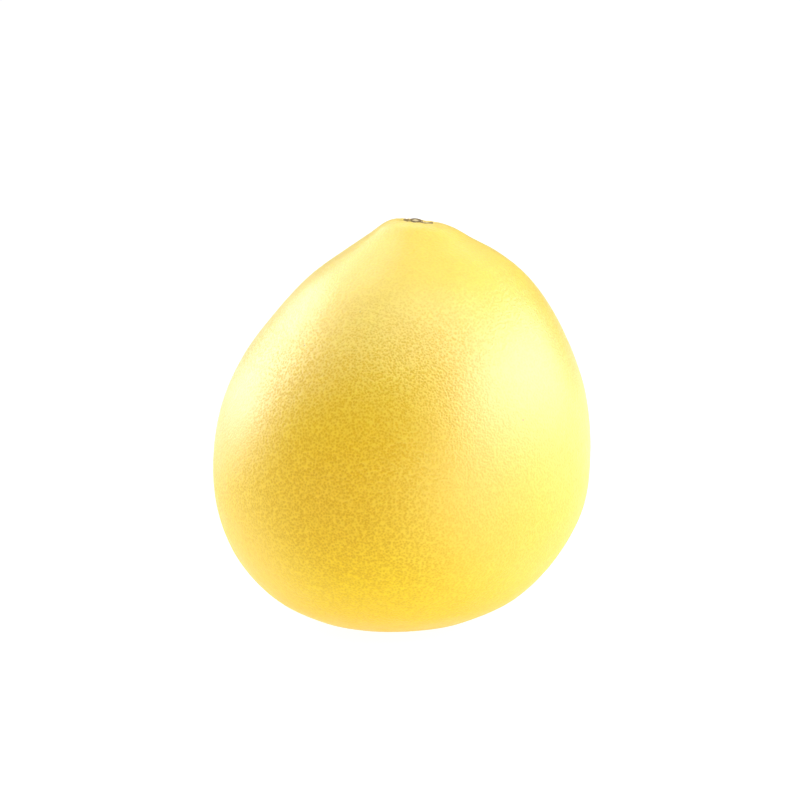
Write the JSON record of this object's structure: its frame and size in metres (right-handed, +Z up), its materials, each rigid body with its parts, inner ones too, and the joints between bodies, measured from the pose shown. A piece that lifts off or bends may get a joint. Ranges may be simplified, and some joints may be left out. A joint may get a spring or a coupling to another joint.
{
  "type": "pomelo",
  "caption": "Whole ripe pomelo: a pear-shaped yellow citrus fruit with a dried stem button in its crown, resting on the flat spot at its blossom end.",
  "frame": {"origin": "under the middle of the fruit, on the surface it rests on", "axes": "+Z up from the blossom end to the stem, +X to the side that the crown leans to"},
  "size_m": [0.1536, 0.1534, 0.1656],
  "materials": {
    "rind": "satin",
    "dried_stem": "matte"
  },
  "bodies": {
    "root": {"fruit": "rind", "stem_button": "dried_stem"}
  },
  "joints": []
}
